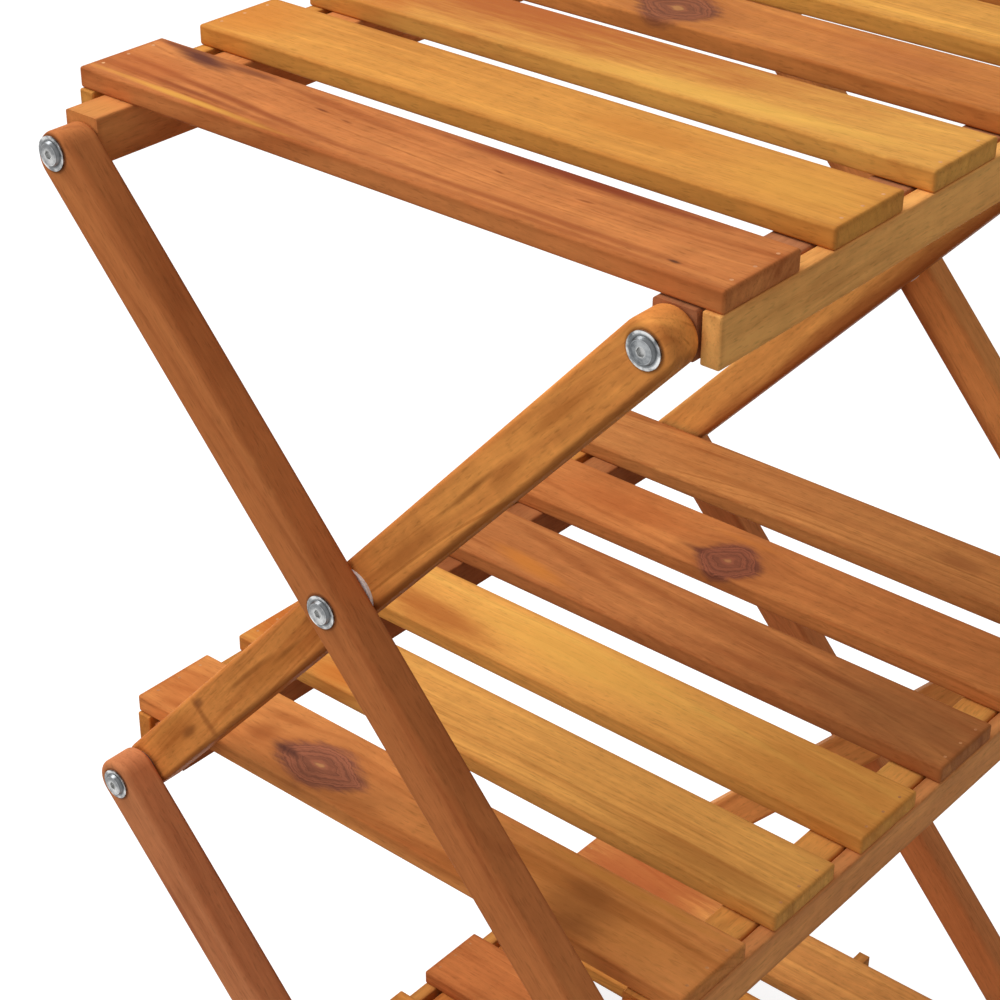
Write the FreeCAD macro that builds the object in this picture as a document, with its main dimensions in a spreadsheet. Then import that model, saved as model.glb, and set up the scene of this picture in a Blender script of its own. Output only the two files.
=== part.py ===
import FreeCAD, Part
import math
import os
import Sketcher

# Folding shelf: three slatted tiers on two crossed leg frames.
# Frame: X along the slats, Y front to rear, Z up from the floor, millimetres.
# The origin is on the floor, midway between the leg pivots and midway front to rear.

doc = FreeCAD.newDocument("folding_shelf")
Vector = FreeCAD.Vector

# Driving dimensions, then the ones worked out from them.
sheet = doc.addObject("Spreadsheet::Sheet", "dims")
CELLS = [
    ("slat_length", "380 mm"),
    ("slat_width", "53.9 mm"),
    ("slat_gap", "24.9 mm"),
    ("slat_thick", "10.6 mm"),
    ("slat_round", "1.4 mm"),
    ("rail_thick", "9.7 mm"),
    ("rail_height", "24.2 mm"),
    ("rail_overhang", "0.4 mm"),
    ("rail_inset", "0.6 mm"),
    ("rail_reach", "1.5 mm"),
    ("rail_round", "1 mm"),
    ("bar_width", "22 mm"),
    ("bar_height", "23.6 mm"),
    ("bar_round", "1.5 mm"),
    ("rest_gap", "0.6 mm"),
    ("left_inset", "26.6 mm"),
    ("right_inset", "22 mm"),
    ("pivot_drop", "24.5 mm"),
    ("leg_pitch", "497.6 mm"),
    ("leg_width", "27.2 mm"),
    ("leg_thick", "19.2 mm"),
    ("leg_round", "2.8 mm"),
    ("leg_trim", "3.5 mm"),
    ("foot_drop", "62 mm"),
    ("side_gap", "2.2 mm"),
    ("washer_thick", "1.6 mm"),
    ("washer_dia", "20 mm"),
    ("cross_washer", "28 mm"),
    ("cross_wall", "4 mm"),
    ("bolt_dia", "6 mm"),
    ("bolt_fit", "0.06 mm"),
    ("bolt_bite", "30 mm"),
    ("head_dia", "17.2 mm"),
    ("head_flange", "0.9 mm"),
    ("head_rise", "2.6 mm"),
    ("cap_dia", "12.8 mm"),
    ("cap_slope", "0.8 mm"),
    ("socket_size", "4 mm"),
    ("socket_depth", "1.2 mm"),
    ("spare_depth", "1 mm"),
    ("brad_dia", "1.8 mm"),
    ("brad_fit", "0.05 mm"),
    ("brad_length", "22 mm"),
    ("brad_step", "16.2 mm"),
    ("stop_left", "26.6 mm"),
    ("stop_width", "8.4 mm"),
    ("stop_height", "12 mm"),
    ("stop_grip", "38 mm"),
    ("stop_reach", "18.6 mm"),
    ("span", "=slat_length - left_inset - right_inset"),
    ("slat_pitch", "=slat_width + slat_gap"),
    ("shelf_depth", "=6 * slat_width + 5 * slat_gap"),
    ("half_depth", "=shelf_depth / 2"),
    ("rise", "=sqrt(leg_pitch^2 - span^2)"),
    ("tilt", "=acos(span / leg_pitch)"),
    ("pivot_low", "=foot_drop"),
    ("pivot_mid", "=foot_drop + rise"),
    ("pivot_top", "=foot_drop + 2 * rise"),
    ("under_slat", "=pivot_drop - slat_thick"),
    ("slat_left", "=-span / 2 - left_inset"),
    ("inner_face", "=half_depth + side_gap"),
    ("inner_skin", "=inner_face + leg_thick"),
    ("outer_face", "=inner_skin + washer_thick"),
    ("outer_skin", "=outer_face + leg_thick"),
    ("hole_dia", "=bolt_dia + 2 * bolt_fit"),
    ("brad_hole", "=brad_dia + 2 * brad_fit"),
    ("foot_long", "=(pivot_mid + leg_width / 2 * cos(tilt)) / sin(tilt)"),
    ("foot_short", "=(pivot_mid - leg_width / 2 * cos(tilt)) / sin(tilt)"),
]
for row, (alias, text) in enumerate(CELLS, start=1):
    sheet.set(f"A{row}", alias)
    sheet.set(f"B{row}", text)
    sheet.setAlias(f"B{row}", alias)
doc.recompute()

BODIES = []


def value(expression):
    """The number, in millimetres, that an expression on the sheet has now."""
    return float(sheet.evalExpression(expression.replace("dims.", "")))


def new_body(label, many=False):
    """An empty body; many allows it to hold separate solids."""
    body = doc.addObject("PartDesign::Body", label)
    body.Label = label
    body.AllowCompound = many
    BODIES.append(body)
    return body


def origin_of(body, role):
    """One of the body's own origin planes or axes."""
    return [item for item in body.Origin.OriginFeatures if item.Role == role][0]


def new_sketch(body, plane, offset=None):
    """A sketch on one of the body's origin planes, moved along its normal by offset."""
    sketch = body.newObject("Sketcher::SketchObject", body.Label + "_sketch")
    sketch.AttachmentSupport = [(origin_of(body, plane), "")]
    sketch.MapMode = "FlatFace"
    if offset:
        sketch.setExpression("AttachmentOffset.Base.z", offset)
    return sketch


def pin_point(sketch, item, end, across, up):
    """Hold a point of the sketch at two distances from its origin."""
    for kind, axis, text in (("DistanceX", -2, across), ("DistanceY", -1, up)):
        if text == "0":
            sketch.addConstraint(Sketcher.Constraint("PointOnObject", item, end, axis))
            continue
        index = sketch.addConstraint(Sketcher.Constraint(kind, -1, 1, item, end, value(text)))
        sketch.setExpression(f"Constraints[{index}]", text)


def polygon(sketch, corners):
    """A closed outline whose corners are pairs of expressions."""
    spots = [Vector(value(across), value(up), 0) for across, up in corners]
    count = len(spots)
    first = len(sketch.Geometry)
    for n in range(count):
        sketch.addGeometry(Part.LineSegment(spots[n], spots[(n + 1) % count]), False)
    for n in range(count):
        sketch.addConstraint(Sketcher.Constraint("Coincident", first + n, 2, first + (n + 1) % count, 1))
    for n, (across, up) in enumerate(corners):
        pin_point(sketch, first + n, 1, across, up)


def rectangle(sketch, left, right, low, high):
    """A rectangle between four expressions."""
    polygon(sketch, [(left, low), (right, low), (right, high), (left, high)])


def circle(sketch, across, up, diameter):
    """A circle at two expressions with a diameter from the sheet."""
    spot = Vector(value(across), value(up), 0)
    item = sketch.addGeometry(Part.Circle(spot, Vector(0, 0, 1), value(diameter) / 2), False)
    index = sketch.addConstraint(Sketcher.Constraint("Diameter", item, value(diameter)))
    sketch.setExpression(f"Constraints[{index}]", diameter)
    pin_point(sketch, item, 3, across, up)


def pad(body, sketch, length, back=False, both=False):
    """Raise the sketch by a length; back goes against its normal, both goes each way."""
    feature = body.newObject("PartDesign::Pad", body.Label + "_pad")
    feature.Profile = sketch
    feature.setExpression("Length", length)
    feature.Reversed = back
    if both:
        feature.SideType = "Symmetric"
    sketch.Visibility = False
    doc.recompute()
    return feature


def pocket(body, sketch, depth, back=False):
    """Cut the sketch into the body against its normal; back cuts along it."""
    feature = body.newObject("PartDesign::Pocket", body.Label + "_pocket")
    feature.Profile = sketch
    feature.setExpression("Length", depth)
    feature.Reversed = back
    doc.recompute()
    return feature


def soften(body, base, radius, wanted):
    """Round the edges of the last feature that the test picks."""
    names = [f"Edge{n}" for n, edge in enumerate(base.Shape.Edges, start=1) if wanted(edge)]
    feature = body.newObject("PartDesign::Fillet", body.Label + "_round")
    feature.Base = (base, names)
    feature.setExpression("Radius", radius)
    doc.recompute()
    return feature


def mirror(body, features, plane="XZ_Plane"):
    """Repeat features on the other side of an origin plane."""
    feature = body.newObject("PartDesign::Mirrored", body.Label + "_mirror")
    feature.Originals = features
    feature.MirrorPlane = (origin_of(body, plane), [""])
    body.Tip = feature
    doc.recompute()


def repeat(body, features):
    """Repeat features once for each slat, front to rear."""
    feature = body.newObject("PartDesign::LinearPattern", body.Label + "_row")
    feature.Originals = features
    feature.Direction = (origin_of(body, "Y_Axis"), [""])
    feature.setExpression("Length", "5 * dims.slat_pitch")
    feature.Occurrences = 6
    body.Tip = feature
    doc.recompute()


def place(body, x, y, z, turn=None):
    """Bind the body's place, and its turn about Y, to the sheet."""
    if turn:
        body.Placement = FreeCAD.Placement(Vector(0, 0, 0), FreeCAD.Rotation(Vector(0, 1, 0), 30))
        body.setExpression("Placement.Rotation.Angle", turn)
    for axis, text in (("x", x), ("y", y), ("z", z)):
        if text != "0":
            body.setExpression("Placement.Base." + axis, text)


def straight(edge):
    return edge.Curve.TypeId == "Part::GeomLine"


def flat_at(edge, axis):
    """Whether every point of an edge has the same value on one axis."""
    spots = [edge.valueAt(p) for p in (edge.FirstParameter, edge.LastParameter)]
    spots.append(edge.CenterOfMass)
    numbers = [spot[axis] for spot in spots]
    return max(numbers) - min(numbers) < 1e-6


def runs_deep(edge):
    """Whether an edge is straight and runs front to rear."""
    return straight(edge) and flat_at(edge, 0) and flat_at(edge, 2)


BRAD_ROWS = ("dims.slat_width / 2 - dims.brad_step",
             "dims.slat_width / 2",
             "dims.slat_width / 2 + dims.brad_step")
BRAD_ENDS = ("dims.rail_inset + dims.rail_thick / 2",
             "dims.slat_length + dims.rail_overhang - dims.rail_thick / 2")


def make_slat(label, level, number):
    """One slat with rounded edges and three brad holes at each end."""
    body = new_body(label)
    sketch = new_sketch(body, "XY_Plane")
    rectangle(sketch, "0", "dims.slat_length", "0", "dims.slat_width")
    for across in BRAD_ENDS:
        for up in BRAD_ROWS:
            circle(sketch, across, up, "dims.brad_hole")
    block = pad(body, sketch, "dims.slat_thick")
    soften(body, block, "dims.slat_round", slat_edge)
    place(body, "dims.slat_left", f"-dims.half_depth + {number} * dims.slat_pitch",
          f"dims.pivot_{level} + dims.under_slat")


def slat_edge(edge):
    """A straight edge of the slat's outline, not the line that closes a hole's round wall."""
    spot = edge.CenterOfMass
    inside_long = 0.01 < spot.x < value("dims.slat_length") - 0.01
    inside_wide = 0.01 < spot.y < value("dims.slat_width") - 0.01
    return straight(edge) and not (inside_long and inside_wide)


def make_rail(label, level, side):
    """An end rail, its top at the slats' underside, with a hole under each brad."""
    body = new_body(label)
    sketch = new_sketch(body, "XY_Plane")
    rectangle(sketch, "0", "dims.rail_thick", "-dims.rail_reach", "dims.shelf_depth + dims.rail_reach")
    block = pad(body, sketch, "dims.rail_height", back=True)
    soften(body, block, "dims.rail_round", straight)
    holes = new_sketch(body, "XY_Plane")
    for up in BRAD_ROWS:
        circle(holes, "dims.rail_thick / 2", up, "dims.brad_hole")
    repeat(body, [pocket(body, holes, "dims.brad_length - dims.slat_thick + dims.spare_depth")])
    left = "dims.slat_left + dims.rail_inset"
    right = "dims.slat_left + dims.slat_length + dims.rail_overhang - dims.rail_thick"
    across = left if side == "left" else right
    place(body, across, "-dims.half_depth", f"dims.pivot_{level} + dims.under_slat")


def make_bar(label, level, side, reach, gap):
    """A cross bar between the leg frames, with a bolt hole in each end."""
    body = new_body(label)
    sketch = new_sketch(body, "XZ_Plane")
    rectangle(sketch, "-dims.bar_width / 2", "dims.bar_width / 2",
              "dims.under_slat - dims.bar_height", f"dims.under_slat - {gap}")
    block = pad(body, sketch, f"2 * {reach}", both=True)
    soften(body, block, "dims.bar_round", runs_deep)
    end = new_sketch(body, "XZ_Plane", reach)
    circle(end, "0", "0", "dims.hole_dia")
    mirror(body, [pocket(body, end, "dims.bolt_bite + dims.spare_depth")])
    place(body, "-dims.span / 2" if side == "left" else "dims.span / 2", "0", f"dims.pivot_{level}")


def leg_holes(sketch, plane):
    """The through holes of a leg: an inner leg has none at the crossing."""
    circle(sketch, "0", "0", "dims.hole_dia")
    circle(sketch, "dims.leg_pitch", "0", "dims.hole_dia")
    if plane == "outer":
        circle(sketch, "dims.leg_pitch / 2", "0", "dims.hole_dia")


def crossing_hole(body, side):
    """The blind hole of an inner leg that takes the crossing bolt's end."""
    skin = "dims.leg_thick" if side == "front" else "-dims.leg_thick"
    sketch = new_sketch(body, "XZ_Plane", skin)
    circle(sketch, "dims.leg_pitch / 2", "0", "dims.hole_dia")
    pocket(body, sketch, "dims.leg_thick - dims.cross_wall + dims.spare_depth", back=(side == "rear"))


def leg_edge(edge):
    """A leg's outer edge on its front or back: not a hole, not across the thickness."""
    if not flat_at(edge, 1):
        return False
    if straight(edge):
        return abs(edge.tangentAt(edge.FirstParameter).x) > 0.999
    return edge.Curve.Radius > value("dims.leg_width") / 4


def make_leg(label, side, plane, start_x, start_z, turn, foot=0, trim=None):
    """A leg from its first pivot at the local origin along local X.

    A foot of 1 or -1 cuts the far end to the floor; trim brings the near end closer to its pivot.
    """
    body = new_body(label)
    sketch = new_sketch(body, "XZ_Plane")
    radius = value("dims.leg_width") / 2
    pitch = value("dims.leg_pitch")
    near = value(trim) if trim else 0
    far_up, far_low = pitch, pitch
    if foot:
        long_end, short_end = "dims.foot_long", "dims.foot_short"
        up_end, low_end = (long_end, short_end) if foot > 0 else (short_end, long_end)
        far_up, far_low = value(up_end), value(low_end)
    sketch.addGeometry(Part.ArcOfCircle(Part.Circle(Vector(near, 0, 0), Vector(0, 0, 1), radius),
                                        math.pi / 2, 3 * math.pi / 2), False)
    sketch.addGeometry(Part.LineSegment(Vector(near, -radius, 0), Vector(far_low, -radius, 0)), False)
    if foot:
        sketch.addGeometry(Part.LineSegment(Vector(far_low, -radius, 0), Vector(far_up, radius, 0)), False)
    else:
        sketch.addGeometry(Part.ArcOfCircle(Part.Circle(Vector(pitch, 0, 0), Vector(0, 0, 1), radius),
                                            -math.pi / 2, math.pi / 2), False)
    sketch.addGeometry(Part.LineSegment(Vector(far_up, radius, 0), Vector(near, radius, 0)), False)
    pin_point(sketch, 0, 3, trim or "0", "0")
    index = sketch.addConstraint(Sketcher.Constraint("Radius", 0, radius))
    sketch.setExpression(f"Constraints[{index}]", "dims.leg_width / 2")
    sketch.addConstraint(Sketcher.Constraint("Tangent", 0, 2, 1, 1))
    sketch.addConstraint(Sketcher.Constraint("Tangent", 3, 2, 0, 1))
    sketch.addConstraint(Sketcher.Constraint("Horizontal", 1))
    if foot:
        sketch.addConstraint(Sketcher.Constraint("Coincident", 1, 2, 2, 1))
        sketch.addConstraint(Sketcher.Constraint("Coincident", 2, 2, 3, 1))
        sketch.addConstraint(Sketcher.Constraint("Horizontal", 3))
        for item, text in ((2, low_end), (3, up_end)):
            index = sketch.addConstraint(Sketcher.Constraint("DistanceX", -1, 1, item, 1, value(text)))
            sketch.setExpression(f"Constraints[{index}]", text)
    else:
        sketch.addConstraint(Sketcher.Constraint("Tangent", 1, 2, 2, 1))
        sketch.addConstraint(Sketcher.Constraint("Tangent", 2, 2, 3, 1))
        sketch.addConstraint(Sketcher.Constraint("PointOnObject", 2, 3, -1))
        index = sketch.addConstraint(Sketcher.Constraint("DistanceX", -1, 1, 2, 3, pitch))
        sketch.setExpression(f"Constraints[{index}]", "dims.leg_pitch")
    leg_holes(sketch, plane)
    block = pad(body, sketch, "dims.leg_thick", back=(side == "rear"))
    soften(body, block, "dims.leg_round", leg_edge)
    if plane == "inner":
        crossing_hole(body, side)
    sign = "-" if side == "front" else ""
    place(body, start_x, f"{sign}dims.{plane}_face", start_z, turn)


def make_bolts(label, level, across, skin, tip):
    """A front and a rear bolt: shank, flange and a raised cap with a hexagon socket."""
    body = new_body(label, many=True)
    profile = new_sketch(body, "XY_Plane")
    polygon(profile, [
        ("0", f"-({tip})"),
        ("dims.bolt_dia / 2", f"-({tip})"),
        ("dims.bolt_dia / 2", f"-{skin}"),
        ("dims.head_dia / 2", f"-{skin}"),
        ("dims.head_dia / 2", f"-{skin} - dims.head_flange"),
        ("dims.cap_dia / 2", f"-{skin} - dims.head_flange"),
        ("dims.cap_dia / 2 - dims.cap_slope", f"-{skin} - dims.head_rise"),
        ("0", f"-{skin} - dims.head_rise"),
    ])
    turned = body.newObject("PartDesign::Revolution", label + "_turned")
    turned.Profile = profile
    turned.ReferenceAxis = (profile, ["V_Axis"])
    turned.Angle = 360
    doc.recompute()
    socket = body.newObject("PartDesign::SubtractivePrism", label + "_socket")
    socket.AttachmentSupport = [(origin_of(body, "XZ_Plane"), "")]
    socket.MapMode = "FlatFace"
    socket.Polygon = 6
    socket.setExpression("Circumradius", "dims.socket_size / sqrt(3)")
    socket.setExpression("Height", "dims.socket_depth + dims.spare_depth")
    socket.setExpression("AttachmentOffset.Base.z", f"{skin} + dims.head_rise - dims.socket_depth")
    doc.recompute()
    mirror(body, [turned, socket])
    place(body, across, "0", level)


def make_washers(label, level, across, outer):
    """A front and a rear washer round a bolt, between an inner and an outer leg."""
    body = new_body(label, many=True)
    sketch = new_sketch(body, "XZ_Plane", "dims.inner_skin")
    circle(sketch, "0", "0", outer)
    circle(sketch, "0", "0", "dims.hole_dia")
    mirror(body, [pad(body, sketch, "dims.washer_thick")])
    place(body, across, "0", level)


def make_brads(label, level):
    """All the brads of one shelf, their heads flush with the slats."""
    body = new_body(label, many=True)
    sketch = new_sketch(body, "XY_Plane")
    for across in BRAD_ENDS:
        for up in BRAD_ROWS:
            circle(sketch, across, up, "dims.brad_dia")
    repeat(body, [pad(body, sketch, "dims.brad_length", back=True)])
    place(body, "dims.slat_left", "-dims.half_depth", f"dims.pivot_{level} + dims.pivot_drop")


def make_stops(label):
    """Two small blocks under the outer slats of the low shelf, reaching past them to the inner legs."""
    body = new_body(label, many=True)
    sketch = new_sketch(body, "XY_Plane")
    rectangle(sketch, "0", "dims.stop_width",
              "dims.half_depth - dims.stop_grip", "dims.half_depth + dims.stop_reach")
    block = pad(body, sketch, "dims.stop_height", back=True)
    mirror(body, [block])
    place(body, "dims.stop_left", "0", "dims.pivot_low + dims.under_slat")


LEFT, RIGHT, MIDDLE = "-dims.span / 2", "dims.span / 2", "0"
TOP, MID, LOW = "dims.pivot_top", "dims.pivot_mid", "dims.pivot_low"
UPPER_CROSS = "dims.pivot_mid + dims.rise / 2"
LOWER_CROSS = "dims.pivot_low + dims.rise / 2"

for level in ("top", "mid", "low"):
    for number in range(6):
        make_slat(f"slat_{level}_{number + 1}", level, number)
    for side in ("left", "right"):
        make_rail(f"rail_{level}_{side}", level, side)
    make_brads(f"brads_{level}", level)

# The bars that meet only an outer leg reach one leg further out.
make_bar("bar_top_left", "top", "left", "dims.outer_face", "0 mm")
make_bar("bar_top_right", "top", "right", "dims.inner_face", "dims.rest_gap")
make_bar("bar_mid_left", "mid", "left", "dims.inner_face", "0 mm")
make_bar("bar_mid_right", "mid", "right", "dims.inner_face", "dims.rest_gap")
make_bar("bar_low_left", "low", "left", "dims.inner_face", "0 mm")
make_bar("bar_low_right", "low", "right", "dims.outer_face", "dims.rest_gap")

for side in ("front", "rear"):
    make_leg(f"leg_a_{side}", side, "outer", LEFT, TOP, "dims.tilt", trim="dims.leg_trim")
    make_leg(f"leg_b_{side}", side, "inner", LEFT, MID, "-dims.tilt")
    make_leg(f"leg_c_{side}", side, "outer", LEFT, MID, "dims.tilt", foot=1)
    make_leg(f"leg_d_{side}", side, "inner", RIGHT, MID, "180 deg - dims.tilt", foot=-1)

INNER_TIP = "dims.inner_face - dims.bolt_bite"
OUTER_TIP = "dims.outer_face - dims.bolt_bite"
CROSS_TIP = "dims.inner_face + dims.cross_wall"
make_bolts("bolts_top_left", TOP, LEFT, "dims.outer_skin", OUTER_TIP)
make_bolts("bolts_top_right", TOP, RIGHT, "dims.inner_skin", INNER_TIP)
make_bolts("bolts_upper_cross", UPPER_CROSS, MIDDLE, "dims.outer_skin", CROSS_TIP)
make_bolts("bolts_mid_left", MID, LEFT, "dims.outer_skin", INNER_TIP)
make_bolts("bolts_mid_right", MID, RIGHT, "dims.outer_skin", INNER_TIP)
make_bolts("bolts_lower_cross", LOWER_CROSS, MIDDLE, "dims.outer_skin", CROSS_TIP)
make_bolts("bolts_low_left", LOW, LEFT, "dims.inner_skin", INNER_TIP)
make_bolts("bolts_low_right", LOW, RIGHT, "dims.outer_skin", OUTER_TIP)

make_washers("washers_upper_cross", UPPER_CROSS, MIDDLE, "dims.cross_washer")
make_washers("washers_lower_cross", LOWER_CROSS, MIDDLE, "dims.cross_washer")
make_washers("washers_mid_left", MID, LEFT, "dims.washer_dia")
make_washers("washers_mid_right", MID, RIGHT, "dims.washer_dia")
make_stops("stop_blocks")

doc.recompute()
faults = []
for item in doc.Objects:
    if {"Invalid", "Error"} & set(item.State):
        faults.append(f"{item.Label}: {item.State}")
for body in BODIES:
    if body.Shape.isNull() or not body.Shape.isValid():
        faults.append(f"{body.Label}: shape")
if faults:
    raise RuntimeError("; ".join(faults))

os.makedirs("parts", exist_ok=True)
for body in BODIES:
    body.Shape.exportStep(f"parts/{body.Label}.step")
print(len(BODIES), "parts", "rise", value("dims.rise"), "tilt", value("dims.tilt"))
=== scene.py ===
# %% [markdown]
# # A folding shelf of oiled acacia
# The real object is three slatted tiers carried by crossing legs that turn on bright bolts.
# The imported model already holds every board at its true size, so this lesson leaves the shapes alone.
# What it adds is the wood itself, the plated steel, a soft studio and the photograph's camera.

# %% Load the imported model
import math
import bpy
import numpy as np
from mathutils import Euler, Matrix, Vector


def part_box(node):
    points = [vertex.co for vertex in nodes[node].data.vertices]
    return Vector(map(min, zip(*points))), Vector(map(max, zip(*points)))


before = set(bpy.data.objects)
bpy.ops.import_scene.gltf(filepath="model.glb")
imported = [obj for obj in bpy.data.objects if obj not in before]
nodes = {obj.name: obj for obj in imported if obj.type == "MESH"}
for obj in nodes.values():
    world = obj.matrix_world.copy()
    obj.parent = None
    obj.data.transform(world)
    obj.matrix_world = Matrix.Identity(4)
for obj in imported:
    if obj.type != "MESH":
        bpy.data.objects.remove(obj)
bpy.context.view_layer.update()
scene = bpy.context.scene
scene.view_settings.view_transform = "Standard"
print("pieces in the frame:", len(nodes))

# %% [markdown]
# ## The camera
# The photograph looks down on the front right corner through a fairly long lens.
# Its place was worked out from the corners of the boards and the bolts, whose true places are known.
# The small shift stands for the way that the picture was cropped.

# %% Set the camera
focal_pixels = 2317.5
picture_pixels = 1000
sensor_width = 36.0
crop_shift = (0.0081, 0.0147)
camera_place = Vector((0.6472, -0.9062, 1.2237))
turn = math.radians(40.28)
look_down = math.radians(31.29)
roll = math.radians(0.23)
camera_data = bpy.data.cameras.new("photo_camera")
camera_data.sensor_width = sensor_width
camera_data.lens = focal_pixels * sensor_width / picture_pixels
camera_data.shift_x, camera_data.shift_y = crop_shift
camera = bpy.data.objects.new("photo_camera", camera_data)
turn_matrix = Matrix.Rotation(turn, 4, "Z")
tip_matrix = Matrix.Rotation(math.pi / 2 - look_down, 4, "X")
roll_matrix = Matrix.Rotation(roll, 4, "Z")
camera.matrix_world = Matrix.Translation(camera_place) @ turn_matrix @ tip_matrix @ roll_matrix
scene.collection.objects.link(camera)
scene.camera = camera
print("camera lens in millimetres:", round(camera_data.lens, 2))

# %% [markdown]
# ## Helpers for node trees
# A procedural finish is a small calculation that runs at every point of a surface.
# In Blender each step of it is a node. These helpers add one node each and join it up,
# so that the finishes below can be read as formulas.

# %% Arithmetic nodes
def plug(tree, socket, value):
    """Join an output to a socket, or write a constant into it."""
    if isinstance(value, bpy.types.NodeSocket):
        tree.links.new(value, socket)
    else:
        socket.default_value = value


def calc(tree, operation, *terms):
    """One step of arithmetic on single numbers."""
    node = tree.nodes.new("ShaderNodeMath")
    node.operation = operation
    for socket, term in zip(node.inputs, terms):
        plug(tree, socket, term)
    return node.outputs[0]


def vector_calc(tree, operation, *terms):
    """One step of arithmetic on points and directions."""
    node = tree.nodes.new("ShaderNodeVectorMath")
    node.operation = operation
    for socket, term in zip(node.inputs, terms):
        plug(tree, socket, term)
    single = operation in ("DOT_PRODUCT", "LENGTH", "DISTANCE")
    return node.outputs["Value" if single else "Vector"]


def scale_vector(tree, vector, factor):
    """A vector or colour made longer or shorter by one number."""
    node = tree.nodes.new("ShaderNodeVectorMath")
    node.operation = "SCALE"
    plug(tree, node.inputs[0], vector)
    plug(tree, node.inputs["Scale"], factor)
    return node.outputs["Vector"]


def soft_step(tree, value, low, high):
    """A number that climbs smoothly from 0 at low to 1 at high."""
    node = tree.nodes.new("ShaderNodeMapRange")
    node.interpolation_type = "SMOOTHSTEP"
    plug(tree, node.inputs["Value"], value)
    plug(tree, node.inputs["From Min"], low)
    plug(tree, node.inputs["From Max"], high)
    return node.outputs["Result"]


print("arithmetic helpers ready")

# %% Colour and noise nodes
def blend(tree, share, first, second):
    """Lay the second colour over the first by the given share."""
    node = tree.nodes.new("ShaderNodeMix")
    node.data_type = "RGBA"
    plug(tree, node.inputs[0], share)
    plug(tree, node.inputs[6], first)
    plug(tree, node.inputs[7], second)
    return node.outputs[2]


def cover(tree, share, strength, under, over):
    """Lay one colour over another by a share, which is first made weaker by the strength."""
    return blend(tree, calc(tree, "MULTIPLY", share, strength), under, over)


def cloud(tree, point, per_metre, detail=2.0, roughness=0.5):
    """Smooth random cloud, stretched: per_metre says how many lumps fit in a metre each way."""
    node = tree.nodes.new("ShaderNodeTexNoise")
    stretched = vector_calc(tree, "MULTIPLY", point, per_metre)
    plug(tree, node.inputs["Vector"], stretched)
    plug(tree, node.inputs["Scale"], 1.0)
    plug(tree, node.inputs["Detail"], detail)
    plug(tree, node.inputs["Roughness"], roughness)
    return node.outputs


def bands(tree, value, per_unit, detail=2.0, roughness=0.6):
    """Random bands along one measure: per_unit says how many fit in one unit of it."""
    node = tree.nodes.new("ShaderNodeTexNoise")
    node.noise_dimensions = "1D"
    plug(tree, node.inputs["W"], calc(tree, "MULTIPLY", value, per_unit))
    plug(tree, node.inputs["Scale"], 1.0)
    plug(tree, node.inputs["Detail"], detail)
    plug(tree, node.inputs["Roughness"], roughness)
    return node.outputs["Fac"]


def linear(red, green, blue):
    """Turn a screen colour of 0 to 255 into the linear colour that a shader wants, by the sRGB curve."""
    screen = np.array([red, green, blue]) / 255.0
    bright = ((screen + 0.055) / 1.055) ** 2.4
    result = np.where(screen <= 0.04045, screen / 12.92, bright)
    return tuple(float(v) for v in result) + (1.0,)


print("body brown in linear light:", [round(v, 3) for v in linear(205, 128, 70)])

# %% [markdown]
# ## The grain of acacia
# Acacia has long fibres, broad patches of honey and red, year rings, a few thin dark lines
# and short open pores. A picture of wood could be wrapped round each board,
# but then its ends would not match its faces. Here the wood is a solid calculation.
# The year rings are shells round the heart of the trunk, which is a slim cone,
# so a board sawn beside the heart shows arches on its face and arcs on its ends, as a real one does.
# Clouds stretched along the fibre give the patches, the flecks and the pores.
# Hands and oil darken the edges, and the same darkening also stands in as painted shade along them, so the
# wood is also told how far it is to the board's nearest edge.

# %% The grain's clouds and rings
def new_group(name, inputs, outputs):
    """An empty node group with named sockets."""
    tree = bpy.data.node_groups.new(name, "ShaderNodeTree")
    for label, kind in inputs:
        tree.interface.new_socket(label, in_out="INPUT", socket_type="NodeSocket" + kind)
    for label, kind in outputs:
        tree.interface.new_socket(label, in_out="OUTPUT", socket_type="NodeSocket" + kind)
    return tree, tree.nodes.new("NodeGroupInput").outputs, tree.nodes.new("NodeGroupOutput").inputs


def swing(tree, value, amount):
    """A cloud's value about its middle, made amount wide."""
    return calc(tree, "MULTIPLY", calc(tree, "SUBTRACT", value, 0.5), amount)


trunk_taper = 0.18
wander_reach = (0.0, 0.02, 0.02)
rings_per_metre = 150.0
thin_rings_per_metre = 420.0
grain, given, result = new_group(
    "acacia_grain",
    [("Point", "Vector"), ("Shift", "Vector"), ("Heart", "Vector"), ("Half", "Vector"), ("Pale", "Color"),
     ("Body", "Color"), ("Deep", "Color"), ("Lines", "Float"), ("Figure", "Float")],
    [("Colour", "Color"), ("Roughness", "Float"), ("Height", "Float")])
moved = vector_calc(grain, "ADD", given["Point"], given["Shift"])
wander = vector_calc(grain, "SUBTRACT", cloud(grain, moved, (3.0, 11, 11))["Color"], (0.5, 0.5, 0.5))
wander = vector_calc(grain, "MULTIPLY", wander, wander_reach)
point = vector_calc(grain, "ADD", moved, wander)
from_heart = vector_calc(grain, "ADD", given["Point"], wander)
from_heart = vector_calc(grain, "SUBTRACT", from_heart, given["Heart"])
depth = vector_calc(grain, "MULTIPLY", from_heart, (trunk_taper, 1.0, 1.0))
depth = vector_calc(grain, "LENGTH", depth)
rings = bands(grain, depth, rings_per_metre)
thin_rings = bands(grain, depth, thin_rings_per_metre, 1.0)
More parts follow.
